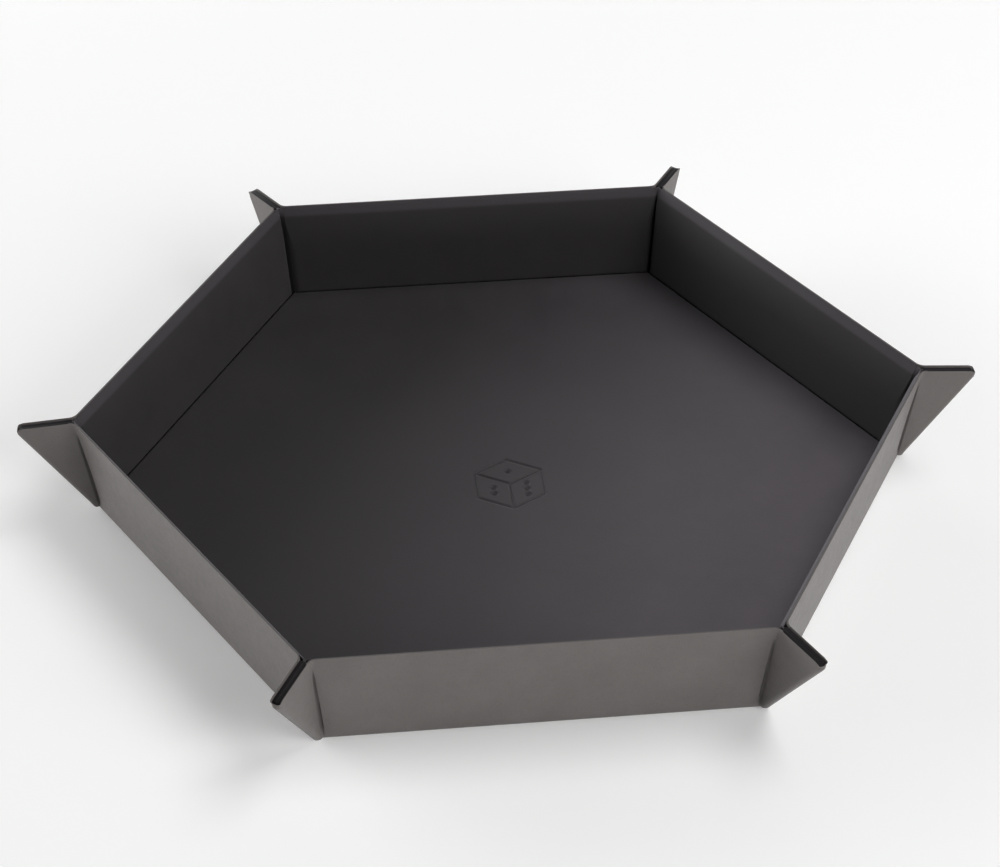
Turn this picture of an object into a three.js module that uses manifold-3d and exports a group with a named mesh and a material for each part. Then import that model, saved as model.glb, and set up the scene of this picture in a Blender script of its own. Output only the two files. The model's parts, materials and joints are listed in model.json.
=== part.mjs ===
// Hexagonal folding dice tray, in millimetres, +Z up, origin on the table under the middle of the floor.
//
// The tray is a flat laminate: a leatherette cover outside, a microfibre lining inside, and boards between
// them. It is drawn here as that flat sheet, panel by panel, and each panel then turns about its crease:
// a wall turns up about the edge of the base, and the two ears at its ends turn outwards about the wall's
// ends, so that neighbouring ears lie back to back on the corner's diagonal, where magnets hold them.
//
// A panel's own frame has y away from the crease it hangs on and z as depth, from its outer face (0) inwards.
// Left and right are as seen from inside the tray, facing the wall.
import * as THREE from "three";
import { mergeVertices } from "three/addons/utils/BufferGeometryUtils.js";
import Module from "manifold-3d";

const wasm = await Module();
wasm.setup();

const { degToRad } = THREE.MathUtils;

// Driving dimensions
const SIDES = 6;
const BASE_APOTHEM = 100; // middle of the tray to the outer bottom edge of a wall
const TRAY_HEIGHT = 31; // table to rim
const WALL_LEAN = degToRad(7.2); // outwards from vertical
const EAR_THICKNESS = 1.5; // half of a pinched corner: one ear's outer face to the corner's diagonal plane

// Layers of the laminate
const COVER = 0.4;
const BOARD = 1.9;
const LINING = 0.4;
const GLUE_LINE = 0.05;

// Creases and clearances
const FOLD_AXIS_DEPTH = 0.3; // the base crease bends this deep in the cover side
const COVER_SETBACK = 0.5; // from the sharp bottom edge to a cover panel
const BOARD_SETBACK = 2.6; // from the sharp bottom edge to a board
const LINING_SETBACK = 2.65; // from the sharp bottom edge to a lining panel
const COVER_END = 0.15; // from an end crease to a cover panel
const BOARD_END = 1.4; // from an end crease to a wall's board
const LINING_END = 0.7; // from an end crease to a wall's lining
const EAR_LINING_START = 0.5; // from an end crease to an ear's lining
const EAR_CLEARANCE = 0.2; // from an ear's lining to the diagonal plane, pinched
const EAR_GAP = 0.6; // from an ear's diagonal edge to the diagonal plane, flat: the fold closes it half way
const EAR_BOTTOM = 2.5; // from the base vertex to the foot of an ear, along the end crease
const NOSE = 0.5; // the cover stops this far short of the lining along an ear's diagonal edge
const TIP_RADIUS = 1.6;
const RIM_DROP = 2.7; // the rim slopes down by this much from the cover's edge,
const RIM_DEPTH = 1.25; // over this much depth
const SKIVE_DROP = 9; // and below it the board is pared down from this far below the rim
const RIM_RADIUS = 0.8;
const SMALL_RADIUS = 0.3;

// Magnets, two to a corner
const MAGNET_RADIUS = 4;
const MAGNET_THICKNESS = 0.6;
const POCKET_CLEARANCE = 0.15; // around a magnet
const POCKET_DEPTH = 0.66;

// Emblem pressed into the floor: a plain die seen corner-on
const EMBLEM_X = 1.4; // of its middle, off the floor's middle
const EMBLEM_Y = -5;
const EMBLEM_RADIUS = 11;
const EMBLEM_LINE = 0.6;
const EMBLEM_DEPTH = 0.15;
const PIP_RADIUS = 0.9;
const PIP_SPACING = 2.6;

// Worked out from the above
const SECTOR = degToRad(360 / SIDES);
const HALF_SECTOR = SECTOR / 2;
const FOLD = Math.PI / 2 - WALL_LEAN; // a wall's turn from flat to standing
const PINCH = Math.acos(Math.sin(HALF_SECTOR) * Math.cos(WALL_LEAN)); // an ear's turn from flat to pinched
const END_SLANT = Math.atan(Math.sin(WALL_LEAN) * Math.tan(HALF_SECTOR)); // of an end crease, off square
const EAR_ANGLE = HALF_SECTOR - END_SLANT; // between an ear's crease and its diagonal edge
const WALL_SLANT = TRAY_HEIGHT / Math.cos(WALL_LEAN);
const CREASE_LENGTH = WALL_SLANT / Math.cos(END_SLANT);
const FOLD_AXIS_BACK = FOLD_AXIS_DEPTH * Math.tan(FOLD / 2); // of the crease axis behind the sharp edge
const BOARD_FROM = COVER + GLUE_LINE;
const LINING_FROM = BOARD_FROM + BOARD + GLUE_LINE;
const THICKNESS = LINING_FROM + LINING;
const EAR_LINING_TO = EAR_THICKNESS - EAR_CLEARANCE;
const RIM_SLOPE = RIM_DROP / RIM_DEPTH;
const SKIVE_SLOPE = (SKIVE_DROP - RIM_DROP) / (THICKNESS - BOARD_FROM - RIM_DEPTH);
// Along the wall's bottom edge, from its middle to the vertex where its end crease begins
const VERTEX_X = BASE_APOTHEM * Math.tan(HALF_SECTOR) - EAR_THICKNESS / Math.cos(HALF_SECTOR);
// From that vertex to the ear's diagonal edge, which reaches the corner's diagonal plane with the tray flat
const FLAT_HALF_EDGE = (BASE_APOTHEM - 2 * FOLD_AXIS_BACK) * Math.tan(HALF_SECTOR);
const DIAGONAL_OFFSET = (FLAT_HALF_EDGE - VERTEX_X) * Math.cos(HALF_SECTOR) - EAR_GAP;

const leatherette = new THREE.MeshStandardMaterial({ color: 0x655e5b, roughness: 0.55, metalness: 0 });
const microfibre = new THREE.MeshStandardMaterial({ color: 0x262527, roughness: 0.9, metalness: 0 });
const greyboard = new THREE.MeshStandardMaterial({ color: 0x8d877c, roughness: 0.95, metalness: 0 });
const nickel = new THREE.MeshStandardMaterial({ color: 0xb9bcc0, roughness: 0.25, metalness: 1 });

// Solids

function solidOf(geometry) {
  const bare = geometry.clone();
  bare.deleteAttribute("normal");
  bare.deleteAttribute("uv");
  const merged = mergeVertices(bare, 1e-4);
  return new wasm.Manifold(
    new wasm.Mesh({
      numProp: 3,
      vertProperties: merged.attributes.position.array,
      triVerts: new Uint32Array(merged.index.array),
    }),
  );
}

function geometryOf(solid) {
  const { vertProperties, triVerts } = solid.getMesh();
  const geometry = new THREE.BufferGeometry();
  geometry.setAttribute("position", new THREE.BufferAttribute(vertProperties, 3));
  geometry.setIndex(new THREE.BufferAttribute(triVerts, 1));
  geometry.computeVertexNormals();
  return geometry;
}

// A closed outline through corners given as [x, y, radius], with an arc at each corner that has a radius.
function outline(corners) {
  const shape = new THREE.Shape();
  const points = corners.map(([x, y]) => new THREE.Vector2(x, y));
  corners.forEach(([, , radius], i) => {
    const here = points[i];
    const back = points.at(i - 1).clone().sub(here).normalize();
    const ahead = points[(i + 1) % points.length].clone().sub(here).normalize();
    const half = Math.acos(THREE.MathUtils.clamp(back.dot(ahead), -1, 1)) / 2;
    const reach = radius / Math.tan(half);
    const start = here.clone().addScaledVector(back, reach);
    const end = here.clone().addScaledVector(ahead, reach);
    if (i === 0) shape.moveTo(start.x, start.y);
    else shape.lineTo(start.x, start.y);
    if (radius === 0) return;
    const middle = back.clone().add(ahead).normalize();
    const centre = here.clone().addScaledVector(middle, radius / Math.sin(half));
    const from = start.clone().sub(centre).angle();
    const to = end.clone().sub(centre).angle();
    const clockwise = back.cross(ahead) > 0;
    shape.absarc(centre.x, centre.y, radius, from, to, clockwise);
  });
  shape.closePath();
  return shape;
}

// A flat plate of that outline between two depths.
function plate(shape, from, to, curveSegments = 6) {
  const geometry = new THREE.ExtrudeGeometry(shape, { depth: to - from, bevelEnabled: false, curveSegments });
  return geometry.translate(0, 0, from);
}

function disc(x, y, radius, from, to, segments) {
  const geometry = new THREE.CylinderGeometry(radius, radius, to - from, segments);
  return geometry.rotateX(Math.PI / 2).translate(x, y, (from + to) / 2);
}

function mesh(name, geometry, material) {
  const made = new THREE.Mesh(geometry, material);
  made.name = name;
  return made;
}

// Base

function hexagon(apothem, radius) {
  const corner = (i) => [Math.cos(i * SECTOR), Math.sin(i * SECTOR)];
  const reach = apothem / Math.cos(HALF_SECTOR);
  return outline(Array.from({ length: SIDES }, (_, i) => [...corner(i).map((v) => v * reach), radius]));
}

function bar(from, to, bottom, top) {
  const along = to.clone().sub(from);
  const geometry = new THREE.BoxGeometry(along.length() + EMBLEM_LINE, EMBLEM_LINE, top - bottom);
  const middle = from.clone().add(to).multiplyScalar(0.5);
  return geometry.rotateZ(along.angle()).translate(middle.x, middle.y, (bottom + top) / 2);
}

// The die's edges are a hexagon with three spokes, and its faces carry one, two and three pips.
function emblem(bottom, top) {
  const at = (radius, degrees) =>
    new THREE.Vector2(radius, 0).rotateAround(new THREE.Vector2(), degToRad(degrees));
  const cuts = [];
  for (let i = 0; i < SIDES; i++) {
    cuts.push(bar(at(EMBLEM_RADIUS, 30 + 60 * i), at(EMBLEM_RADIUS, 90 + 60 * i), bottom, top));
  }
  for (const degrees of [30, 150, 270]) {
    cuts.push(bar(at(0, 0), at(EMBLEM_RADIUS, degrees), bottom, top));
  }
  for (const [count, degrees] of [[1, 90], [2, 210], [3, 330]]) {
    for (let i = 0; i < count; i++) {
      const pip = at(EMBLEM_RADIUS / 2, degrees);
      pip.y += (i - (count - 1) / 2) * PIP_SPACING;
      cuts.push(disc(pip.x, pip.y, PIP_RADIUS, bottom, top, 20));
    }
  }
  return cuts.map(solidOf).reduce((whole, cut) => whole.add(cut)).translate([EMBLEM_X, EMBLEM_Y, 0]);
}

function baseLining() {
  const sheet = solidOf(plate(hexagon(BASE_APOTHEM - LINING_SETBACK, SMALL_RADIUS), LINING_FROM, THICKNESS));
  return geometryOf(sheet.subtract(emblem(THICKNESS - EMBLEM_DEPTH, THICKNESS + 1)));
}

function base() {
  const group = new THREE.Group();
  const coverShape = hexagon(BASE_APOTHEM - COVER_SETBACK, SMALL_RADIUS);
  const boardShape = hexagon(BASE_APOTHEM - BOARD_SETBACK, SMALL_RADIUS);
  group.add(
    mesh("base_cover", plate(coverShape, 0, COVER), leatherette),
    mesh("base_board", plate(boardShape, BOARD_FROM, BOARD_FROM + BOARD), greyboard),
    mesh("base_lining", baseLining(), microfibre),
  );
  return group;
}

// Walls

// A wall panel widens upwards along its end creases, less the same margin at both ends.
function wallShape(bottom, top, end, radius) {
  const halfWidth = (y) => VERTEX_X + y * Math.tan(END_SLANT) - end / Math.cos(END_SLANT);
  return outline([
    [-halfWidth(bottom), bottom, radius],
    [halfWidth(bottom), bottom, radius],
    [halfWidth(top), top, radius],
    [-halfWidth(top), top, radius],
  ]);
}

// The rim's surface, or one inset from it, as (up the wall, depth, radius) corners down to a depth.
function rimSurface(inset, depth) {
  const rimInset = inset * Math.hypot(1, RIM_SLOPE);
  const skiveInset = RIM_DROP - RIM_DEPTH * SKIVE_SLOPE + inset * Math.hypot(1, SKIVE_SLOPE);
  const bend = (rimInset - skiveInset) / (SKIVE_SLOPE - RIM_SLOPE);
  return [
    [WALL_SLANT - rimInset, BOARD_FROM, 0],
    [WALL_SLANT - rimInset - bend * RIM_SLOPE, BOARD_FROM + bend, RIM_RADIUS],
    [WALL_SLANT - skiveInset - (depth - BOARD_FROM) * SKIVE_SLOPE, depth, 0],
  ];
}

// A wall layer: a section, as (up the wall, depth) corners, run from one end crease to the other.
function wallLayer(section, end) {
  const yzx = new THREE.Matrix4().makeBasis(
    new THREE.Vector3(0, 1, 0),
    new THREE.Vector3(0, 0, 1),
    new THREE.Vector3(1, 0, 0),
  );
  const strip = plate(outline(section), -BASE_APOTHEM, BASE_APOTHEM).applyMatrix4(yzx);
  const panel = plate(wallShape(0, WALL_SLANT + 1, end, 0), 0, THICKNESS + 1);
  return geometryOf(solidOf(strip).intersect(solidOf(panel)));
}

function wallBoard() {
  const top = BOARD_FROM + BOARD;
  const rim = rimSurface(LINING + GLUE_LINE, top);
  return wallLayer([[BOARD_SETBACK, BOARD_FROM, 0], ...rim, [BOARD_SETBACK, top, 0]], BOARD_END);
}

// The lining covers the inner face and rolls over the board's pared top edge.
function wallLining() {
  const under = rimSurface(LINING, LINING_FROM).reverse();
  const rim = rimSurface(0, THICKNESS);
  const section = [[LINING_SETBACK, LINING_FROM, 0], ...under, ...rim, [LINING_SETBACK, THICKNESS, 0]];
  return wallLayer(section, LINING_END);
}

function wall(name) {
  const group = new THREE.Group();
  const coverShape = wallShape(COVER_SETBACK, WALL_SLANT, COVER_END, 0);
  group.add(
    mesh(`${name}_cover`, plate(coverShape, 0, COVER), leatherette),
    mesh(`${name}_board`, wallBoard(), greyboard),
    mesh(`${name}_lining`, wallLining(), microfibre),
  );
  return group;
}

// Ears. An ear's frame has its end crease along y and the ear on the side that side (1 or -1) gives.

function earShape(side, start, inset) {
  const rim = (x) => CREASE_LENGTH + x * Math.tan(END_SLANT);
  const diagonalX = (y) => (DIAGONAL_OFFSET - inset + y * Math.sin(EAR_ANGLE)) / Math.cos(EAR_ANGLE);
  // The tip is where the rim line meets the diagonal edge.
  const tipX =
    (diagonalX(0) + CREASE_LENGTH * Math.tan(EAR_ANGLE)) / (1 - Math.tan(END_SLANT) * Math.tan(EAR_ANGLE));
  const corners = [
    [start, EAR_BOTTOM, 0],
    [diagonalX(EAR_BOTTOM), EAR_BOTTOM, SMALL_RADIUS],
    [tipX, rim(tipX), TIP_RADIUS],
    [start, rim(start), SMALL_RADIUS],
  ];
  const mirrored = corners.map(([x, y, radius]) => [x * side, y, radius]);
  return outline(side > 0 ? mirrored : mirrored.reverse());
}

// The magnet sits at the middle of the ear's inscribed circle.
function magnetCentre(side) {
  const sine = Math.sin(EAR_ANGLE);
  const slope = Math.tan(END_SLANT);
  const secant = 1 / Math.cos(END_SLANT);
  const spread = 1 + Math.cos(EAR_ANGLE) - sine * slope + sine * secant;
  const x = (DIAGONAL_OFFSET + CREASE_LENGTH * sine) / spread;
  return [side * x, CREASE_LENGTH + x * slope - x * secant];
}

function earLining(side) {
  const pad = solidOf(plate(earShape(side, EAR_LINING_START, 0), BOARD_FROM, EAR_LINING_TO));
  const radius = MAGNET_RADIUS + POCKET_CLEARANCE;
  const pocket = disc(...magnetCentre(side), radius, BOARD_FROM - 1, BOARD_FROM + POCKET_DEPTH, 40);
  return geometryOf(pad.subtract(solidOf(pocket)));
}

function ear(name, side) {
  const group = new THREE.Group();
  const magnetFrom = BOARD_FROM + (POCKET_DEPTH - MAGNET_THICKNESS) / 2;
  const magnet = disc(...magnetCentre(side), MAGNET_RADIUS, magnetFrom, magnetFrom + MAGNET_THICKNESS, 40);
  group.add(
    mesh(`${name}_cover`, plate(earShape(side, COVER_END, NOSE), 0, COVER), leatherette),
    mesh(`${name}_lining`, earLining(side), microfibre),
    mesh(`${name}_magnet`, magnet, nickel),
  );
  return group;
}

// Assembly: each hinge is a group that turns its panel up out of the flat sheet.

function foldedEar(index, side) {
  const name = `ear_${index}_${side > 0 ? "right" : "left"}`;
  const crease = new THREE.Group();
  crease.position.set(side * VERTEX_X, 0, 0);
  crease.rotation.z = -side * END_SLANT;
  const hinge = new THREE.Group();
  hinge.name = `${name}_hinge`;
  hinge.rotation.y = side * PINCH;
  hinge.add(ear(name, side));
  return crease.add(hinge);
}

function foldedWall(index) {
  const hinge = new THREE.Group();
  hinge.name = `wall_${index}_hinge`;
  hinge.position.set(0, BASE_APOTHEM - FOLD_AXIS_BACK, FOLD_AXIS_DEPTH);
  hinge.rotation.x = FOLD;
  const sheet = new THREE.Group();
  sheet.position.set(0, -FOLD_AXIS_BACK, -FOLD_AXIS_DEPTH);
  sheet.add(wall(`wall_${index}`), foldedEar(index, 1), foldedEar(index, -1));
  return hinge.add(sheet);
}

const tray = new THREE.Group();
tray.add(base());
for (let i = 0; i < SIDES; i++) {
  // Wall 1 faces -Y, and the rest follow anticlockwise from above.
  const sector = new THREE.Group();
  sector.rotation.z = Math.PI + i * SECTOR;
  tray.add(sector.add(foldedWall(i + 1)));
}

export default tray;
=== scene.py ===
"""Looks of a hexagonal folding dice tray: leatherette outside, microfibre inside, creased where it folds.

Every piece is drawn in millimetres in the flat frame of its own panel, as in the CAD: x along the crease it
hangs on, y away from it and z as depth, from the outer face (0) inwards. A frame then folds the panel up and
places it, and piece() turns the result into metres. Panels ride on their bodies, and the strips between them
stay where they stand at rest. Left and right are as seen from inside the tray, facing the wall.
"""
import json
import math

import bpy
import numpy as np
from mathutils import Matrix, Vector


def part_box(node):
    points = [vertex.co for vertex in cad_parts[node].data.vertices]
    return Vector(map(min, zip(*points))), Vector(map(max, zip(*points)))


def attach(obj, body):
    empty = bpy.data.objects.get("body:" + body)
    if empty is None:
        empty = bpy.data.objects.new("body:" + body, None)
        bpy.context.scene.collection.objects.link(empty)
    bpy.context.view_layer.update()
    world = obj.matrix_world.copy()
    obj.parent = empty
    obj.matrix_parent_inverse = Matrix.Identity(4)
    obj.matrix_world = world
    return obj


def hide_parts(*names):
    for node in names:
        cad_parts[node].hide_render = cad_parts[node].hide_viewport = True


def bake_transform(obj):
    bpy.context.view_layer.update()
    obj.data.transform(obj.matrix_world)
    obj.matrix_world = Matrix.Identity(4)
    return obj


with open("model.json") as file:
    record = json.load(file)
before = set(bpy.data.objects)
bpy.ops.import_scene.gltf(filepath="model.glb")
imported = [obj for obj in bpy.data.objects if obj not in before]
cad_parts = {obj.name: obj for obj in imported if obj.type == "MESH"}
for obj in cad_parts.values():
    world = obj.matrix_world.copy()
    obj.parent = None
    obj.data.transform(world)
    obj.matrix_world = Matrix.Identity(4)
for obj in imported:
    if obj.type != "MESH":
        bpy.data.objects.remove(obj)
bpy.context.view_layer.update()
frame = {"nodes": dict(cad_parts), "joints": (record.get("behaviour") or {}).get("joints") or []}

MM = 0.001
SIDES = 6
SECTOR = math.radians(360 / SIDES)
HALF_SECTOR = SECTOR / 2
JOINTS = {joint["name"]: joint for joint in frame["joints"]}


def top_of(node):
    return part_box(node)[1].z / MM


def bottom_of(node):
    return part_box(node)[0].z / MM


# Sizes read from the frame
FOLD = math.radians(JOINTS["wall_1_fold"]["range_deg"][1])
LEAN = math.pi / 2 - FOLD
PINCH = math.acos(math.sin(HALF_SECTOR) * math.cos(LEAN))
END_SLANT = math.atan(math.sin(LEAN) * math.tan(HALF_SECTOR))
EAR_ANGLE = HALF_SECTOR - END_SLANT
AXIS_DEPTH = JOINTS["wall_1_fold"]["pos_m"][2] / MM
AXIS_BACK = AXIS_DEPTH * math.tan(FOLD / 2)
APOTHEM = AXIS_BACK - JOINTS["wall_1_fold"]["pos_m"][1] / MM
VERTEX_X = JOINTS["ear_1_left_fold"]["pos_m"][0] / MM
COVER = top_of("base_cover")
LINING_FROM = bottom_of("base_lining")
THICKNESS = top_of("base_lining")
WALL_SLANT = (top_of("wall_1_cover") - COVER * math.cos(FOLD)) / math.sin(FOLD)
CREASE_LENGTH = WALL_SLANT / math.cos(END_SLANT)
CORNER_RADIUS = APOTHEM - VERTEX_X / math.tan(HALF_SECTOR)
EAR_THICKNESS = CORNER_RADIUS * math.sin(HALF_SECTOR)
EAR_GAP = 0.005  # left between an ear and the corner's diagonal plane
# From an ear's vertex to its edge on that plane, with the tray flat
DIAGONAL = ((APOTHEM - 2 * AXIS_BACK) * math.tan(HALF_SECTOR) - VERTEX_X) * math.cos(HALF_SECTOR) - EAR_GAP

# Cover: how far the crease strips reach, and how they bend
BEND_REACH = 1.2  # from the bottom edge to a base or wall panel
BEND_TANGENT = 0.97  # from the bottom edge to where its bend starts
PINCH_REACH = 1.6  # from an end crease to a wall or ear panel
PINCH_FOOT_REACH = 0.6  # the same on the ear side at its foot,
PINCH_FOOT_RISE = 5  # from which it widens over this much height
RIM_FILLET = 1.6  # bend of an end crease at the rim
LOW_FILLET = 0.5  # and below it,
FILLET_DROP = 3  # from this far down
CREASE_DEPTH = 0.6  # of the groove along an end crease
CREASE_WIDTH = 0.25
CREASE_TOP_DROP = 2  # below the rim, where the groove starts,
CREASE_TOP_FADE = 7  # and the height over which it deepens,
CREASE_FOOT_FADE = 4  # and the same at the foot
BLEND_HALF = 0.5  # half the width of the band along an end crease where the depth turns from the wall's normal to the ear's
HOLLOW_DEPTH = 0.42  # of the soft hollow on both sides of the crease
HOLLOW_WIDTH = 2.4
HOLLOW_TOP = 29  # height where it starts,
HOLLOW_TOP_FADE = 18  # and over which it deepens,
HOLLOW_FOOT_FADE = 3  # and the same at the foot
NOSE_EDGE = 0.03  # thickness of the cover where it meets its neighbour on the diagonal
TIP_RADIUS = 1.6
EAR_HEM = 0.45  # an ear's cover turns in at its foot, and this is how far below the crease strips it reaches
EDGE_THICKNESS = 0.15  # of an ear's cover along its top,
EDGE_TAPER = 0.9  # reached over this much height

# Lining
SHOULDER = 0.5
RIM_DROP = 2.7  # the rim slopes down by this much from the cover's edge,
RIM_DEPTH = 1.25  # over this much depth
SKIVE_DROP = 9.0  # and below it the board is pared down from this far below the rim,
SKIVE_SOFTNESS = 5.0  # where the lining's face bends over gently, by this much on both sides
RIM_SOFTNESS = 0.5
END_ROLL = 2.2  # a wall's lining rounds off over this much of its end,
END_RADIUS = 0.9  # and this much depth
CORNER_RIM = 2.4  # radius of the lining in a corner of the base,
CORNER_TONGUE = 0.8  # and how much further it reaches between the ears
CORNER_THICKNESS = 0.25
BASE_LINING_SETBACK = 2.45  # from the bottom edge
WALL_LINING_START = 2.45
WALL_LINING_END = 0.25  # from the end crease
BORDER_FROM = COVER + 0.05
LINING = THICKNESS - LINING_FROM
RIM_SLOPE = RIM_DROP / RIM_DEPTH
SKIVE_SLOPE = (SKIVE_DROP - RIM_DROP) / (THICKNESS - BORDER_FROM - RIM_DEPTH)
WRAP = 0.15  # of the lining where it is pulled tight round a board's edge
GROOVE_DEPTH = 0.7  # of the lining where it dips between two panels
GROOVE_THICKNESS = 0.3
GROOVE_TANGENT = 0.4  # from the bottom of the groove to where its bend starts
STRIP_DEPTH = 2.3  # of the strip of lining beside an ear, on the wall's side
STRIP_BACK = 0.6  # how far before the crease two pinched strips meet
PAD_START = 0.6
PAD_FOOT = 1.3
PAD_TOP_DROP = 0.35
PAD_FACE = EAR_THICKNESS - 0.02

# Emblem: a plain die seen corner-on
EMBLEM_CENTRE = (1.4, -5.0)
EMBLEM_RADIUS = 11.0
EMBLEM_LINE = 0.55
EMBLEM_DEPTH = 0.4
PIP_RADIUS = 0.9
PIP_SPACING = 2.6

# Camera, at the photograph's viewing angle
CAMERA_AZIMUTH = math.radians(-5.75)
CAMERA_ELEVATION = math.radians(37.64)
CAMERA_ROLL = math.radians(-0.06)
CAMERA_DISTANCE = 0.7252
CAMERA_TARGET = (-0.0002, 0.0066, 0.012)
CAMERA_LENS = 91.14


# Studio, in metres
SOFTBOX_DISTANCE = 1.3
FLOOR_SIZE = 40.0
FLOOR_UPTURN = 3.4
FLOOR_LEVEL = -0.0002


# Frames

def sector_frame(index):
    """x along wall index, y outwards and z up, from the middle of the tray."""
    return Matrix.Rotation(math.pi + (index - 1) * SECTOR, 4, "Z")


def wall_frame(index):
    return sector_frame(index) @ Matrix.Translation((0, APOTHEM, 0)) @ Matrix.Rotation(FOLD, 4, "X")


def crease_frame(index, side):
    """The wall's frame turned so that y runs up its end crease."""
    return (
        wall_frame(index)
        @ Matrix.Translation((side * VERTEX_X, 0, 0))
        @ Matrix.Rotation(-side * END_SLANT, 4, "Z")
    )


def ear_frame(index, side):
    return crease_frame(index, side) @ Matrix.Rotation(side * PINCH, 4, "Y")


# Mesh building

def smooth(t):
    t = np.clip(t, 0.0, 1.0)
    return t * t * (3 - 2 * t)


def crowded(start, end, count):
    """Numbers from start to end that crowd at both ends."""
    return start + (end - start) * (0.5 - 0.5 * np.cos(np.linspace(0, math.pi, count)))


def piece(name, shape, place, materials, side=1):
    """An object from points in millimetres; side -1 mirrors it."""
    points, faces, slots = shape
    points = points * (side, 1, 1)
    if side < 0:
        faces = [face[::-1] for face in faces]
    mesh = bpy.data.meshes.new(name)
    mesh.from_pydata([place @ Vector(p) * MM for p in points], [], faces)
    for material in materials:
        mesh.materials.append(material)
    mesh.polygons.foreach_set("material_index", [min(s, len(materials) - 1) for s in slots])
    mesh.shade_smooth()
    mesh.set_sharp_from_angle(angle=math.radians(40))
    obj = bpy.data.objects.new(name, mesh)
    bpy.context.scene.collection.objects.link(obj)
    return obj


def patch(grid, thickness):
    """A closed sheet. The grid, by row and column, is its outer face; the rest lies behind it in depth.
    Its rim takes the second material."""
    rows, columns = grid.shape[:2]
    normal = np.cross(np.gradient(grid, axis=1), np.gradient(grid, axis=0))
    normal /= np.linalg.norm(normal, axis=2, keepdims=True)
    inner = grid + normal * np.broadcast_to(thickness, (rows, columns))[..., None]
    points = np.concatenate([grid.reshape(-1, 3), inner.reshape(-1, 3)])
    front = np.arange(rows * columns).reshape(rows, columns)
    back = front + rows * columns

    def quads(a, b, c, d):
        return np.stack([a, b, c, d], axis=-1).reshape(-1, 4).tolist()

    faces = quads(front[:-1, :-1], front[1:, :-1], front[1:, 1:], front[:-1, 1:])
    faces += quads(back[:-1, :-1], back[:-1, 1:], back[1:, 1:], back[1:, :-1])
    count = len(faces)
    faces += quads(front[0, :-1], front[0, 1:], back[0, 1:], back[0, :-1])
    faces += quads(front[-1, 1:], front[-1, :-1], back[-1, :-1], back[-1, 1:])
    faces += quads(front[1:, 0], front[:-1, 0], back[:-1, 0], back[1:, 0])
    faces += quads(front[:-1, -1], front[1:, -1], back[1:, -1], back[:-1, -1])
    return points, faces, [0] * count + [1] * (len(faces) - count)


def stack(rings, edge=0):
    """A closed solid through rings of the same length, each anticlockwise seen from inside the tray.
    Up to the edge ring, its sides take the second material."""
    points = np.concatenate(rings)
    length = len(rings[0])
    faces = [list(range(length))[::-1]]
    here = np.arange(length)
    ahead = (here + 1) % length
    for i in range(len(rings) - 1):
        low = i * length
        high = low + length
        faces += np.stack([low + here, low + ahead, high + ahead, high + here], axis=-1).tolist()
    faces.append((here + (len(rings) - 1) * length).tolist())
    return points, faces, [0] + [1] * (edge * length) + [0] * (len(faces) - 1 - edge * length)


def outline(corners, insets, depth, steps=5):
    """A ring through corners (x, y, radius), anticlockwise, with each side moved in by its inset."""
    points = [np.array(corner[:2], float) for corner in corners]
    count = len(points)
    insets = np.broadcast_to(insets, count)
    ways = []
    for i in range(count):
        way = points[(i + 1) % count] - points[i]
        ways.append(way / np.linalg.norm(way))
    ring = []
    for i, (*_, radius) in enumerate(corners):
        before, after = ways[i - 1], ways[i]
        into_before = np.array([-before[1], before[0]])
        into_after = np.array([-after[1], after[0]])
        moved = np.linalg.solve(
            np.array([into_before, into_after]),
            [into_before @ points[i] + insets[i - 1], into_after @ points[i] + insets[i]],
        )
        turn = math.acos(np.clip(before @ after, -1, 1))
        radius = max(radius - max(insets[i - 1], insets[i]), 0.05)
        centre = moved - before * radius * math.tan(turn / 2) + into_before * radius
        for angle in np.linspace(0, turn, steps):
            spoke = -into_before * math.cos(angle) + before * math.sin(angle)
            ring.append([*(centre + radius * spoke), depth])
    return np.array(ring)


def section_grid(section, along):
    """A grid whose rows follow a section of (y, z) points and whose columns lie at these x."""
    grid = np.zeros((len(section), len(along), 3))
    grid[..., 0] = along
    grid[..., 1:] = np.array(section)[:, None, :]
    return grid


# The bend between the base and a wall, as (outwards from the bottom edge, up)

def on_wall(distance, depth=0.0):
    """A point of a standing wall as (outwards from the bottom edge, up)."""
    return (
        distance * math.cos(FOLD) - depth * math.sin(FOLD),
        distance * math.sin(FOLD) + depth * math.cos(FOLD),
    )


def bend(reach, depth, tangent, steps=9):
    """From the base to the wall at this depth, with an arc at the corner."""
    offset = depth * math.tan(FOLD / 2)
    radius = tangent / math.tan(FOLD / 2)
    points = [(-reach, depth)]
    for angle in np.linspace(0, FOLD, steps):
        points.append(
            (radius * math.sin(angle) - tangent - offset, depth + radius * (1 - math.cos(angle)))
        )
    points.append(on_wall(reach, depth))
    return points


# Materials

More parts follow.
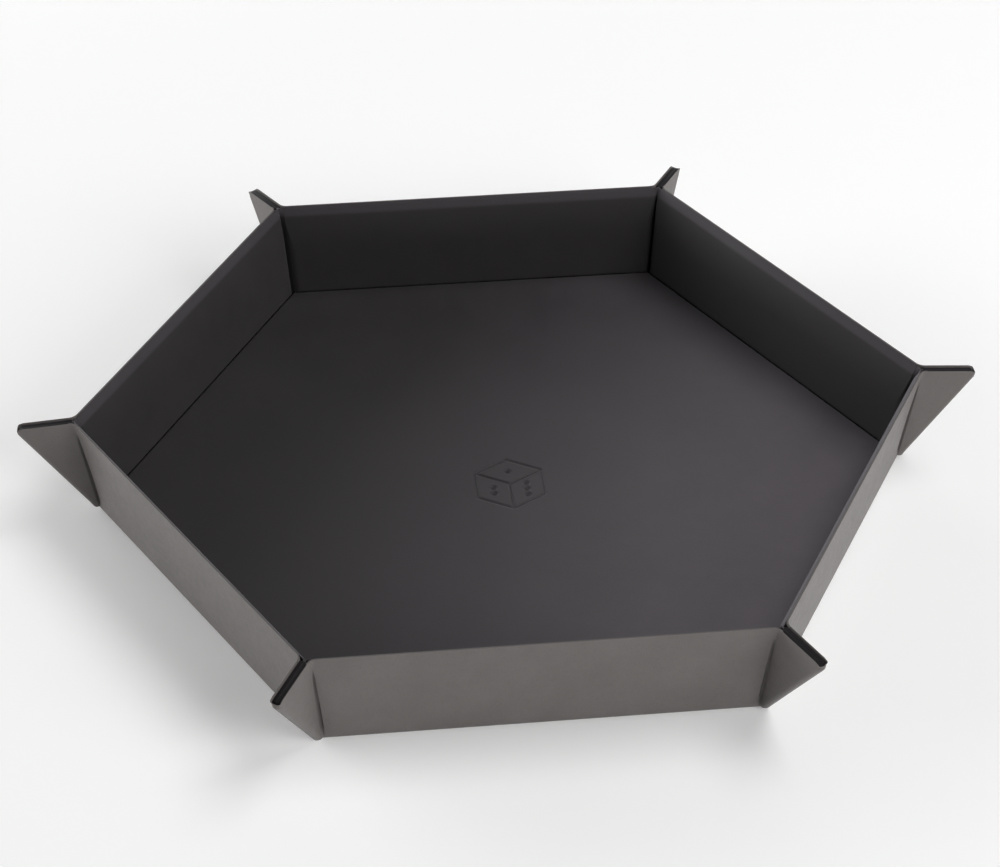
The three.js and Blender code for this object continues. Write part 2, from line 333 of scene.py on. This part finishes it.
class Shader:
    """A material's node tree, built from its colour, height and gloss upwards."""

    def __init__(self, name):
        self.material = bpy.data.materials.new(name)
        self.material.use_nodes = True
        self.tree = self.material.node_tree
        self.tree.nodes.clear()
        self.place = self.add("ShaderNodeTexCoord").outputs["Object"]

    def add(self, kind, inputs=None, **settings):
        node = self.tree.nodes.new(kind)
        for key, value in settings.items():
            setattr(node, key, value)
        for key, value in (inputs or {}).items():
            if isinstance(value, bpy.types.NodeSocket):
                self.tree.links.new(value, node.inputs[key])
            else:
                node.inputs[key].default_value = value
        return node

    def noise(self, size_mm, detail=2.0, roughness=0.5, stretch=None):
        place = self.place
        if stretch:
            place = self.add("ShaderNodeMapping", {"Vector": place, "Scale": stretch}).outputs[0]
        return self.add(
            "ShaderNodeTexNoise",
            {"Vector": place, "Scale": 1 / (size_mm * MM), "Detail": detail, "Roughness": roughness},
        ).outputs["Fac"]

    def cells(self, size_mm, feature="DISTANCE_TO_EDGE"):
        return self.add(
            "ShaderNodeTexVoronoi",
            {"Vector": self.place, "Scale": 1 / (size_mm * MM), "Randomness": 1.0},
            feature=feature,
        ).outputs["Distance"]

    def math(self, operation, a, b=0.0):
        return self.add("ShaderNodeMath", {0: a, 1: b}, operation=operation).outputs[0]

    def span(self, value, low, high, to_low=0.0, to_high=1.0):
        return self.add(
            "ShaderNodeMapRange",
            {"Value": value, "From Min": low, "From Max": high, "To Min": to_low, "To Max": to_high},
        ).outputs[0]

    def mix(self, share, a, b, blend="MIX"):
        return self.add(
            "ShaderNodeMix", {"Factor": share, "A": a, "B": b}, data_type="RGBA", blend_type=blend
        ).outputs["Result"]

    def bump(self, height, distance_mm, strength=1.0, under=None):
        inputs = {"Height": height, "Distance": distance_mm * MM, "Strength": strength}
        if under is not None:
            inputs["Normal"] = under
        return self.add("ShaderNodeBump", inputs).outputs[0]

    def finish(self, **inputs):
        shader = self.add("ShaderNodeBsdfPrincipled", inputs)
        output = self.add("ShaderNodeOutputMaterial")
        self.tree.links.new(shader.outputs[0], output.inputs["Surface"])
        return self.material


def grey(value, warm=0.0):
    return (value * (1 + warm), value, value * (1 - warm), 1.0)


def leatherette():
    """Grey-taupe leatherette: pebbled grain of about half a millimetre, with a soft satin surface."""
    s = Shader("leatherette")
    edges = s.cells(0.55)
    pebble = s.span(edges, 0.0, 0.16)
    fine = s.noise(0.12, 3.0)
    cloud = s.noise(14.0, 4.0, 0.6)
    rub = s.noise(2.2, 3.0, 0.6)
    tone = s.mix(s.span(cloud, 0.3, 0.7), (0.121, 0.109, 0.104, 1), (0.139, 0.127, 0.122, 1))
    tone = s.mix(s.span(rub, 0.62, 0.8, 0.0, 0.25), tone, (0.175, 0.162, 0.155, 1))
    tone = s.mix(s.span(edges, 0.0, 0.08, 0.35, 0.0), tone, (0.072, 0.065, 0.062, 1))
    height = s.math("ADD", s.math("MULTIPLY", pebble, 0.7), s.math("MULTIPLY", fine, 0.3))
    normal = s.bump(height, 0.035, 0.6)
    normal = s.bump(cloud, 0.25, 0.25, normal)
    roughness = s.span(s.math("ADD", rub, s.math("MULTIPLY", fine, 0.5)), 0.4, 1.1, 0.44, 0.60)
    return s.finish(
        **{
            "Base Color": tone,
            "Roughness": roughness,
            "Specular IOR Level": 0.45,
            "Sheen Weight": 0.06,
            "Sheen Roughness": 0.5,
            "Normal": normal,
        }
    )


def cut_edge():
    """The leatherette's cut edge, where the pale backing shows."""
    s = Shader("leatherette_edge")
    fibre = s.noise(0.25, 4.0, 0.7)
    tone = s.mix(fibre, (0.08, 0.073, 0.070, 1), (0.13, 0.122, 0.117, 1))
    return s.finish(**{"Base Color": tone, "Roughness": 0.85, "Normal": s.bump(fibre, 0.05, 0.6)})


def microfibre(name, shade=1.0, floor=False):
    """Near-black microfibre: a short brushed nap that catches the light where it leans.
    The floor's colour and sheen rise towards the front right: a painted gradient of light. Elsewhere they
    rise in a band at the height of the walls' rim: a painted highlight. A shade below one makes a darker
    copy: painted shade."""
    s = Shader(name)
    nap = s.noise(0.22, 4.0, 0.65)
    strand = s.noise(0.35, 3.0, 0.6, stretch=(1.0, 0.35, 1.0))
    brushed = s.noise(28.0, 3.0, 0.55)
    mottle = s.noise(5.0, 3.0, 0.6)
    lean = s.math("ADD", s.math("MULTIPLY", brushed, 0.6), s.math("MULTIPLY", mottle, 0.4))
    tone = s.mix(s.span(lean, 0.35, 0.65), (0.0160, 0.0142, 0.0148, 1), (0.0222, 0.0197, 0.0206, 1))
    tone = s.mix(s.span(nap, 0.35, 0.75, 0.0, 0.5), tone, (0.031, 0.0280, 0.0295, 1))
    tone = s.mix(1.0, tone, grey(shade), "MULTIPLY")
    axes = s.add("ShaderNodeSeparateXYZ", {"Vector": s.place}).outputs
    if floor:
        # Painted light: towards the front right the floor's colour is multiplied up to 4.2 times and its
        # sheen raised.
        across = s.math("MULTIPLY", axes["X"], 2.0)
        share = s.math("POWER", s.span(s.math("SUBTRACT", across, axes["Y"]), -0.16, 0.20), 2.0)
        painted_light_gain = 4.2
        sheen = 0.55
    else:
        # Painted highlight: a band at the rim's height is made 1.7 times brighter, with more sheen.
        rim = math.cos(LEAN) * (WALL_SLANT - RIM_DROP) * MM
        share = s.span(axes["Z"], rim - 0.0004, rim + 0.0004)
        painted_light_gain = 1.7
        sheen = 0.27
    tone = s.mix(share, tone, (painted_light_gain, painted_light_gain * 0.97, painted_light_gain * 1.05, 1), "MULTIPLY")
    sheen = s.span(share, 0.0, 1.0, 0.09 * shade, sheen * shade)
    height = s.math("ADD", s.math("MULTIPLY", nap, 0.6), s.math("MULTIPLY", strand, 0.4))
    normal = s.bump(height, 0.07, 0.7)
    return s.finish(
        **{
            "Base Color": tone,
            "Roughness": s.span(lean, 0.35, 0.65, 0.62, 0.74),
            "Specular IOR Level": 0.35 * shade,
            "Sheen Weight": sheen,
            "Sheen Roughness": 0.45,
            "Sheen Tint": (0.9, 0.88, 0.95, 1),
            "Normal": normal,
        }
    )


def greyboard():
    s = Shader("greyboard")
    fibre = s.noise(0.8, 5.0, 0.7, stretch=(1.0, 0.4, 1.0))
    fleck = s.noise(0.3, 2.0)
    tone = s.mix(fibre, (0.22, 0.20, 0.165, 1), (0.33, 0.305, 0.26, 1))
    tone = s.mix(s.span(fleck, 0.68, 0.74, 0.0, 0.6), tone, (0.08, 0.075, 0.065, 1))
    return s.finish(**{"Base Color": tone, "Roughness": 0.92, "Normal": s.bump(fibre, 0.08, 0.5)})


def nickel():
    s = Shader("nickel")
    haze = s.noise(1.5, 3.0)
    scratch = s.noise(0.2, 2.0, 0.5, stretch=(0.1, 1.0, 1.0))
    return s.finish(
        **{
            "Base Color": (0.62, 0.60, 0.56, 1),
            "Metallic": 1.0,
            "Roughness": s.span(haze, 0.3, 0.7, 0.18, 0.32),
            "Normal": s.bump(scratch, 0.01, 0.2),
        }
    )


def plain_floor():
    """A pale floor that fades to white away from the tray, where the softboxes don't reach."""
    s = Shader("studio_floor")
    distance = s.add("ShaderNodeVectorMath", {0: s.place}, operation="LENGTH").outputs["Value"]
    return s.finish(
        **{
            "Base Color": grey(0.88),
            "Roughness": 0.9,
            "Specular IOR Level": 0.1,
            "Emission Color": grey(1.0),
            "Emission Strength": s.span(distance, 0.4, 1.4, 0.18, 0.9),
        }
    )


LEATHERETTE = [leatherette(), cut_edge()]
MICROFIBRE = [microfibre("microfibre")]
FLOOR_MICROFIBRE = [microfibre("microfibre_floor", floor=True)]
# The ears' second slot is the same microfibre darkened to 0.3: painted shade for the recess between an ear's
# skins.
EAR_MICROFIBRE = [MICROFIBRE[0], microfibre("microfibre_painted_shade_edge", shade=0.3)]
GREYBOARD = greyboard()
NICKEL = nickel()


# Cover

def rows_up():
    """Heights up an end crease, shared by the wall, the ear and the strip between them."""
    return crowded(BEND_REACH / math.cos(END_SLANT), CREASE_LENGTH, 30)


def hollow(distance, height):
    """The cover's soft hollow beside an end crease: none at the rim or the foot, deepest low down."""
    foot = smooth((height - BEND_REACH) / HOLLOW_FOOT_FADE)
    low = foot * smooth((HOLLOW_TOP - height) / HOLLOW_TOP_FADE)
    return HOLLOW_DEPTH * low * np.exp(-((distance / HOLLOW_WIDTH) ** 2))


def ear_start(height):
    """Where an ear's own cover starts: closer to the crease at the foot, where the ear is narrow."""
    rise = smooth((height - BEND_REACH) / PINCH_FOOT_RISE)
    return PINCH_FOOT_REACH + (PINCH_REACH - PINCH_FOOT_REACH) * rise


def add_cover(name, shape, place, side=1):
    obj = piece(name, shape, place, LEATHERETTE, side)
    return obj


def hexagon(apothem, radius):
    reach = apothem / math.cos(HALF_SECTOR)
    return [(reach * math.cos(i * SECTOR), reach * math.sin(i * SECTOR), radius) for i in range(SIDES)]


def base_cover(strips):
    corners = hexagon(APOTHEM - BEND_REACH, CORNER_RADIUS - BEND_REACH)
    rings = [outline(corners, 0, depth, steps=13) for depth in (0, COVER)]
    obj = add_cover("base_leatherette", stack(rings), Matrix())
    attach(obj, "base")
    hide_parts("base_cover")


def corner_cover(index):
    """The cover round the corner of the base at a wall's right end."""
    centre = np.array([VERTEX_X, APOTHEM - CORNER_RADIUS])
    angles = np.linspace(0, SECTOR, 13)
    profile = bend(BEND_REACH, 0, BEND_TANGENT)
    grid = np.zeros((len(profile), len(angles), 3))
    for row, (out, up) in enumerate(profile):
        radius = CORNER_RADIUS + out
        grid[row, :, 0] = centre[0] + radius * np.sin(angles)
        grid[row, :, 1] = centre[1] + radius * np.cos(angles)
        grid[row, :, 2] = up
    obj = add_cover(f"corner_{index}_leatherette", patch(grid, COVER), sector_frame(index))
    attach(obj, "base")
    return obj


def bend_cover(index):
    """The crease between the base and a wall."""
    profile = [(APOTHEM + out, up) for out, up in bend(BEND_REACH, 0, BEND_TANGENT)]
    grid = section_grid(profile, np.linspace(-VERTEX_X, VERTEX_X, 30))
    place = sector_frame(index)
    obj = add_cover(f"wall_{index}_bend_leatherette", patch(grid, COVER), place)
    blend_bend(obj)
    return obj


def blend_bend(obj):
    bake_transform(obj)


def wall_cover(index):
    heights = rows_up()
    levels = heights * math.cos(END_SLANT)
    half = VERTEX_X + levels * math.tan(END_SLANT) - PINCH_REACH / math.cos(END_SLANT)
    across = crowded(-1, 1, 44)
    grid = np.zeros((len(levels), len(across), 3))
    grid[..., 0] = half[:, None] * across
    grid[..., 1] = levels[:, None]
    distance = PINCH_REACH + half[:, None] * (1 - np.abs(across)) * math.cos(END_SLANT)
    grid[..., 2] = hollow(distance, heights[:, None])
    obj = add_cover(f"wall_{index}_leatherette", patch(grid, COVER), wall_frame(index))
    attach(obj, f"wall_{index}")
    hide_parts(f"wall_{index}_cover")


def blend_pinch(obj):
    """Bakes the strip across an end crease into place at rest, from a little on the wall's side to as much
    on the ear's.
    """
    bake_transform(obj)


def pinch_cover(index, side, name):
    """The crease between a wall and an ear: a rounded turn at the rim that sharpens into a groove."""
    heights = rows_up()
    inner = np.linspace(-BLEND_HALF, BLEND_HALF, 13)
    grid = np.zeros((len(heights), 23, 3))
    for row, height in enumerate(heights):
        u = np.concatenate(
            [
                np.linspace(-PINCH_REACH, -BLEND_HALF, 6)[:-1],
                inner,
                np.linspace(BLEND_HALF, ear_start(height), 6)[1:],
            ]
        )
        below = CREASE_LENGTH - height
        fillet = RIM_FILLET + (LOW_FILLET - RIM_FILLET) * smooth(below / FILLET_DROP)
        t = np.clip((u + fillet) / (2 * fillet), 0, 1)
        along_wall = np.minimum(u, 0) * (np.abs(u) >= fillet) - fillet * (1 - t) ** 2 * (np.abs(u) < fillet)
        along_ear = np.maximum(u, 0) * (np.abs(u) >= fillet) + fillet * t**2 * (np.abs(u) < fillet)
        depth = CREASE_DEPTH * smooth((below - CREASE_TOP_DROP) / CREASE_TOP_FADE)
        depth *= smooth((height - BEND_REACH + 1) / CREASE_FOOT_FADE)
        depth = depth * np.exp(-((u / CREASE_WIDTH) ** 2)) + hollow(np.abs(u), height)
        # The depth runs along the wall's normal, then the ear's, and in the middle along a mix of both,
        # which is lengthened to make up for the angle between them.
        share = smooth((u + BLEND_HALF) / (2 * BLEND_HALF))
        depth *= 1 + 4 * share * (1 - share) * (1 / math.cos(PINCH / 2) ** 2 - 1)
        grid[row, :, 0] = along_wall + along_ear * math.cos(PINCH) + depth * share * math.sin(PINCH)
        grid[row, :, 1] = height + u * math.tan(END_SLANT)
        grid[row, :, 2] = depth * (1 - share + share * math.cos(PINCH)) - along_ear * math.sin(PINCH)
    obj = add_cover(f"{name}_crease_leatherette", patch(grid, COVER), crease_frame(index, side), side)
    blend_pinch(obj)
    return obj


def diagonal_x(height):
    """Where the row of an ear that starts at this height on the crease meets the diagonal."""
    return (DIAGONAL + height * math.sin(EAR_ANGLE)) / (
        math.cos(EAR_ANGLE) - math.tan(END_SLANT) * math.sin(EAR_ANGLE)
    )


def round_tip(x, y):
    """Moves points near an ear's tip inwards, so that its corner is an arc."""
    tip_x = diagonal_x(CREASE_LENGTH)
    tip = np.array([tip_x, CREASE_LENGTH + tip_x * math.tan(END_SLANT)])
    # The tip's half angle is half a sector, and this direction points out of it along its bisector.
    angle = END_SLANT + math.pi / 2 - HALF_SECTOR * 2
    out = np.array([math.cos(angle), math.sin(angle)])
    centre = tip - out * TIP_RADIUS / math.sin(HALF_SECTOR)
    dx, dy = x - centre[0], y - centre[1]
    along = dx * out[0] + dy * out[1]
    across = dy * out[0] - dx * out[1]
    turned = np.abs(np.arctan2(across, along))
    limit = math.pi / 2 - HALF_SECTOR
    keep = np.where(turned < limit, np.cos(limit - turned), 1.0)
    return centre[0] + dx * keep, centre[1] + dy * keep


def ear_cover(index, side, name):
    """An ear's outer skin. Along the diagonal and at its foot it turns in and meets its neighbour."""
    hem = np.linspace(math.pi / 2, 0, 7)[:-1]
    hems = np.concatenate([hem, np.zeros(30)])
    heights = np.concatenate([rows_up()[0] - EAR_HEM * np.sin(hem), rows_up()])
    flat_columns, nose_columns = 12, 10
    turn = np.concatenate([np.zeros(flat_columns), np.linspace(0, math.pi / 2, nose_columns + 1)[1:]])
    grid = np.zeros((len(heights), len(turn), 3))
    turned = np.arccos(np.cos(hems)[:, None] * np.cos(turn)) / (math.pi / 2)
    edge = smooth((CREASE_LENGTH - heights) / EDGE_TAPER)[:, None]
    skin = EDGE_THICKNESS + (COVER - EDGE_THICKNESS) * edge
    thickness = NOSE_EDGE + (skin - NOSE_EDGE) * (1 - turned)
    for row, height in enumerate(heights):
        start = ear_start(height)
        end = diagonal_x(height)
        nose = min(EAR_THICKNESS * math.cos(END_SLANT) / math.sin(SECTOR), end - start - 0.1)
        grid[row, :, 0] = end - nose + nose * np.sin(turn)
        grid[row, :flat_columns, 0] = np.linspace(start, end - nose, flat_columns)
        grid[row, :, 1] = height + grid[row, :, 0] * math.tan(END_SLANT)
    grid[..., 2] = PAD_FACE * (1 - np.cos(hems)[:, None] * np.cos(turn))
    grid[..., 2] += hollow(grid[..., 0], heights[:, None]) * (1 - turned)
    grid[..., 0], grid[..., 1] = round_tip(grid[..., 0], grid[..., 1])
    obj = add_cover(f"{name}_leatherette", patch(grid, thickness), ear_frame(index, side), side)
    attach(obj, name)
    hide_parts(f"{name}_cover")


# Lining

def add_lining(name, shape, place, side=1, materials=MICROFIBRE):
    obj = piece(name, shape, place, materials, side)
    return obj


def emblem_depth(x, y):
    """How deep the die is pressed into the floor at these points."""
    distance = np.full(x.shape, 1e3)

    def corner(radius, degrees):
        return radius * math.cos(math.radians(degrees)), radius * math.sin(math.radians(degrees))

    lines = [(corner(EMBLEM_RADIUS, 30 + 60 * i), corner(EMBLEM_RADIUS, 90 + 60 * i)) for i in range(6)]
    lines += [((0, 0), corner(EMBLEM_RADIUS, degrees)) for degrees in (30, 150, 270)]
    for (ax, ay), (bx, by) in lines:
        length = math.hypot(bx - ax, by - ay)
        ux, uy = (bx - ax) / length, (by - ay) / length
        t = np.clip((x - ax) * ux + (y - ay) * uy, 0, length)
        distance = np.minimum(distance, np.hypot(x - ax - t * ux, y - ay - t * uy))
    for count, degrees in ((1, 90), (2, 210), (3, 330)):
        px, py = corner(EMBLEM_RADIUS / 2, degrees)
        for i in range(count):
            shift = (i - (count - 1) / 2) * PIP_SPACING
            pip = np.hypot(x - px, y - py - shift) - PIP_RADIUS + EMBLEM_LINE / 2
            distance = np.minimum(distance, np.maximum(pip, 0))
    return EMBLEM_DEPTH * (1 - smooth((distance - 0.12) / EMBLEM_LINE))


def base_lining(strips):
    """The floor: hexagonal rings at the border turn into round ones under the emblem."""
    angles = np.radians(np.arange(360))
    off_flat = (angles % SECTOR) - HALF_SECTOR
    apothem = APOTHEM - BASE_LINING_SETBACK

    def ring(inset, depth, roundness=0.0, radius=0.0):
        reach = (apothem - inset) / np.cos(off_flat) * (1 - roundness) + radius * roundness
        x, y = reach * np.cos(angles), reach * np.sin(angles)
        sunk = emblem_depth(x, y) if roundness == 1 else 0
        centre_x, centre_y = EMBLEM_CENTRE
        return np.stack([x + centre_x * roundness, y + centre_y * roundness, depth - sunk + 0 * x], axis=1)

    rings = [
        ring(1.0, LINING_FROM),
        ring(WRAP, LINING_FROM),
        ring(WRAP, BORDER_FROM),
        ring(0, BORDER_FROM),
    ]
    for angle in np.linspace(0, math.pi / 2, 7):
        rings.append(ring(SHOULDER * (1 - math.cos(angle)), THICKNESS - SHOULDER * (1 - math.sin(angle))))
    rings.append(ring(SHOULDER + 0.4, THICKNESS))
    outer = EMBLEM_RADIUS + 3
    for share in (0.25, 0.5, 0.75):
        rings.append(ring(SHOULDER + (apothem - outer) * share, THICKNESS, share, outer))
    for radius in np.arange(outer, 0.15, -0.2):
        rings.append(ring(0, THICKNESS, 1.0, radius))
    obj = add_lining("base_microfibre", stack(rings), Matrix(), materials=FLOOR_MICROFIBRE)
    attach(obj, "base")
    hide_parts("base_lining")


def corner_lining(index):
    """The lining in the corner of the base, under its fold. It reaches furthest out between the ears."""
    centre = np.array([VERTEX_X, APOTHEM - CORNER_RADIUS])
    angles = np.linspace(-math.radians(25), SECTOR + math.radians(25), 17)
    rim, tip = (CORNER_RIM, 1.75), (CORNER_RIM + CORNER_TONGUE, 1.75)
    profile = [(0.2, 1.3), (0.9, 1.3), (1.5, 1.32), (1.95, 1.4), (2.25, 1.6), rim, tip]
    grid = np.zeros((len(profile), len(angles), 3))
    for row, (reach, up) in enumerate(profile):
        radius = np.minimum(reach, CORNER_RIM + CORNER_TONGUE * np.cos(angles - HALF_SECTOR) ** 10)
        grid[row, :, 0] = centre[0] + radius * np.sin(angles)
        grid[row, :, 1] = centre[1] + radius * np.cos(angles)
        grid[row, :, 2] = up
    obj = add_lining(f"corner_{index}_microfibre", patch(grid, CORNER_THICKNESS), sector_frame(index))
    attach(obj, "base")
    return obj


def rim_inset(depth, under=0.0):
    """How far a wall's lining lies below the rim at a depth: a slope that bends over into the pared board's.
    Under is the distance from the lining's surface to the board side."""
    rim = (depth - BORDER_FROM) * RIM_SLOPE + under * math.hypot(1, RIM_SLOPE)
    skive = RIM_DROP + (depth - BORDER_FROM - RIM_DEPTH) * SKIVE_SLOPE + under * math.hypot(1, SKIVE_SLOPE)
    softness = 0 if under else RIM_SOFTNESS
    to_face = (THICKNESS - depth) * SKIVE_SLOPE
    if not under and to_face < SKIVE_SOFTNESS:
        skive = SKIVE_DROP + SKIVE_SOFTNESS - 2 * math.sqrt(SKIVE_SOFTNESS * to_face)
    return (rim + skive + math.hypot(rim - skive, softness)) / 2


def wall_lining(index):
    """The lining of a wall: over the inner face, round its ends, and up the sloping rim to the cover."""
    def half(level):
        return VERTEX_X + level * math.tan(END_SLANT) - WALL_LINING_END / math.cos(END_SLANT)

    corners = [
        (-half(WALL_LINING_START), WALL_LINING_START, 0.6),
        (half(WALL_LINING_START), WALL_LINING_START, 0.6),
        (half(WALL_SLANT), WALL_SLANT, 1.0),
        (-half(WALL_SLANT), WALL_SLANT, 1.0),
    ]
    rings = [outline(corners, [1.0, 1.2, rim_inset(LINING_FROM, LINING) + 1, 1.2], LINING_FROM)]
    for depth in np.linspace(LINING_FROM, BORDER_FROM, 6):
        rings.append(outline(corners, [WRAP, 0.3, rim_inset(depth, LINING), 0.3], depth))
    rings.append(outline(corners, 0.1, BORDER_FROM))
    for depth in [BORDER_FROM + 0.1, *crowded(BORDER_FROM + 0.4, THICKNESS, 20)]:
        into = min((THICKNESS - depth) / SHOULDER, 1)
        bottom = SHOULDER * (1 - math.sqrt(1 - (1 - into) ** 2))
        into = min((THICKNESS - depth) / END_RADIUS, 1)
        end = END_ROLL * (1 - math.sqrt(1 - (1 - into) ** 2))
        rings.append(outline(corners, [bottom, end, rim_inset(depth), end], depth))
    face = rim_inset(THICKNESS)
    rings.append(outline(corners, [SHOULDER + 0.4, END_ROLL + 0.4, face + 0.4, END_ROLL + 0.4], THICKNESS))
    obj = add_lining(f"wall_{index}_microfibre", stack(rings), wall_frame(index))
    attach(obj, f"wall_{index}")
    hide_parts(f"wall_{index}_lining")


def bend_lining(index):
    """The lining pressed into the groove between the base board and a wall board."""
    reach = WALL_LINING_START - 0.03
    profile = [(APOTHEM + out, up) for out, up in bend(reach, GROOVE_DEPTH, GROOVE_TANGENT)]
    grid = section_grid(profile, np.linspace(-VERTEX_X + 0.4, VERTEX_X - 0.4, 30))
    shape = patch(grid, GROOVE_THICKNESS)
    obj = add_lining(f"wall_{index}_bend_microfibre", shape, sector_frame(index))
    blend_bend(obj)
    return obj


def pinch_lining(index, side, name):
    """The strip of lining between a wall's board and an ear. Pinched, it meets its neighbour."""
    low = np.linspace(PAD_FOOT, 20, 8)[:-1]
    heights = np.concatenate([low, np.linspace(20, CREASE_LENGTH - PAD_TOP_DROP, 16)])
    cosine, sine = math.cos(PINCH), math.sin(PINCH)

    def on_ear(x, depth):
        return np.array([x * cosine + depth * sine, depth * cosine - x * sine])

    grid = np.zeros((len(heights), 10, 3))
    for row, height in enumerate(heights):
        below = CREASE_LENGTH - height
        rim = min(below / RIM_SLOPE, RIM_DEPTH + (below - RIM_DROP) / SKIVE_SLOPE)
        depth = min(STRIP_DEPTH, BORDER_FROM + rim - 0.1)
        start = np.array([-WALL_LINING_END - 0.07, depth])
        back = min(STRIP_BACK, (depth - 0.4) / 2)
        end = on_ear(-back, PAD_FACE)
        section = [start + (end - start) * t for t in np.linspace(0, 1, 9)]
        section.append(on_ear(PAD_START + 0.02, PAD_FACE))
        grid[row, :, 0] = [x for x, _ in section]
        grid[row, :, 2] = [z for _, z in section]
    grid[..., 1] = heights[:, None]
    # The columns run from the ear to the wall, so that the strip's thickness lies towards the crease.
    shape = patch(grid[:, ::-1], GROOVE_THICKNESS)
    obj = add_lining(f"{name}_crease_microfibre", shape, crease_frame(index, side), side)
    blend_pinch(obj)
    return obj


def ear_lining(index, side, name):
    """The lining inside an ear, set a little below the cover's top edge. Pinched, it meets its neighbour."""
    def diagonal_at(level):
        return (DIAGONAL + level * math.sin(EAR_ANGLE)) / math.cos(EAR_ANGLE)

    top = CREASE_LENGTH - PAD_TOP_DROP / math.cos(END_SLANT)
    tip_x = (DIAGONAL + top * math.sin(EAR_ANGLE)) / (
        math.cos(EAR_ANGLE) - math.tan(END_SLANT) * math.sin(EAR_ANGLE)
    )
    corners = [
        (PAD_START, PAD_FOOT, 0.2),
        (diagonal_at(PAD_FOOT), PAD_FOOT, 0.3),
        (tip_x, top + tip_x * math.tan(END_SLANT), TIP_RADIUS + 0.1),
        (PAD_START, top + PAD_START * math.tan(END_SLANT), 0.3),
    ]
    # (depth, inset along the diagonal, inset of the other sides)
    levels = [
        (BORDER_FROM, 1.3, 0.5),
        (BORDER_FROM, 0.92, 0.12),
        (0.6, 0.66, 0.03),
        (0.83, 0.40, 0.0),
        (1.0, 0.25, 0.0),
        (1.2, 0.15, 0.0),
        (1.38, 0.06, 0.0),
        (PAD_FACE, 0.03, 0.05),
        (PAD_FACE, 0.5, 0.6),
    ]
    rings = [outline(corners, [rest, diagonal, rest, rest], depth) for depth, diagonal, rest in levels]
    # The lining's sides up to its face take the darker copy: painted shade.
    shape = stack(rings, edge=len(rings) - 2)
    obj = add_lining(f"{name}_microfibre", shape, ear_frame(index, side), side, EAR_MICROFIBRE)
    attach(obj, name)
    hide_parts(f"{name}_lining")


# Studio

def softbox(name, energy, azimuth, elevation):
    """A softbox that faces the tray. Azimuth 0 is in front of it and 90 to its right."""
    light = bpy.data.lights.new(name, "AREA")
    light.shape = "RECTANGLE"
    light.size, light.size_y = 0.8, 0.6
    light.energy = energy
    obj = bpy.data.objects.new(name, light)
    a, e = math.radians(azimuth), math.radians(elevation)
    way = Vector((math.sin(a) * math.cos(e), -math.cos(a) * math.cos(e), math.sin(e)))
    obj.location = way * SOFTBOX_DISTANCE
    obj.rotation_euler = way.to_track_quat("Z", "Y").to_euler()
    bpy.context.scene.collection.objects.link(obj)


def studio():
    """Softboxes over a wide floor whose far edge turns up, so that low views see no horizon."""
    size = FLOOR_SIZE
    mesh = bpy.data.meshes.new("studio_floor")
    corners = [(-size, -size), (size, -size), (size, size), (-size, size)]
    points = [(x, y, z) for z in (FLOOR_LEVEL, FLOOR_UPTURN) for x, y in corners]
    sides = [(i, (i + 1) % 4, (i + 1) % 4 + 4, i + 4) for i in range(4)]
    mesh.from_pydata(points, [], [(0, 1, 2, 3), *sides])
    mesh.materials.append(plain_floor())
    floor = bpy.data.objects.new("studio_floor", mesh)
    bpy.context.scene.collection.objects.link(floor)

    world = bpy.data.worlds.new("studio")
    bpy.context.scene.world = world
    world.use_nodes = True
    background = world.node_tree.nodes["Background"]
    background.inputs["Color"].default_value = (1, 1, 1, 1)
    background.inputs["Strength"].default_value = 0.02
    softbox("left", 7.6, 260, 12)
    softbox("back_left", 7.6, 230, 12)
    softbox("back", 3.8, 200, 12)
    softbox("back_right", 1.3, 160, 30)
    softbox("right_above", 7.4, 100, 60)
    softbox("front_right", 8.3, 40, 30)
    softbox("right_low", 1.5, 60, 12)
    bpy.context.scene.view_settings.view_transform = "Standard"


def camera():
    data = bpy.data.cameras.new("camera")
    data.lens = CAMERA_LENS
    data.sensor_width = 36
    obj = bpy.data.objects.new("camera", data)
    bpy.context.scene.collection.objects.link(obj)
    flat = math.cos(CAMERA_ELEVATION)
    back = Vector(
        (
            math.sin(CAMERA_AZIMUTH) * flat,
            -math.cos(CAMERA_AZIMUTH) * flat,
            math.sin(CAMERA_ELEVATION),
        )
    )
    obj.location = Vector(CAMERA_TARGET) + back * CAMERA_DISTANCE
    aim = (-back).to_track_quat("-Z", "Y").to_matrix()
    obj.rotation_euler = (aim @ Matrix.Rotation(CAMERA_ROLL, 3, "Z")).to_euler()
    bpy.context.scene.camera = obj


def repaint(node, material):
    mesh = frame["nodes"][node].data
    mesh.materials.clear()
    mesh.materials.append(material)


camera()
studio()

walls = range(1, SIDES + 1)
base_cover([corner_cover(index) for index in walls])
base_lining([corner_lining(index) for index in walls])
repaint("base_board", GREYBOARD)
for index in walls:
    cover_strips = [bend_cover(index)]
    lining_strips = [bend_lining(index)]
    for side, word in ((1, "right"), (-1, "left")):
        name = f"ear_{index}_{word}"
        ear_cover(index, side, name)
        ear_lining(index, side, name)
        cover_strips.append(pinch_cover(index, side, name))
        lining_strips.append(pinch_lining(index, side, name))
        repaint(f"{name}_magnet", NICKEL)
    wall_cover(index)
    wall_lining(index)
    repaint(f"wall_{index}_board", GREYBOARD)
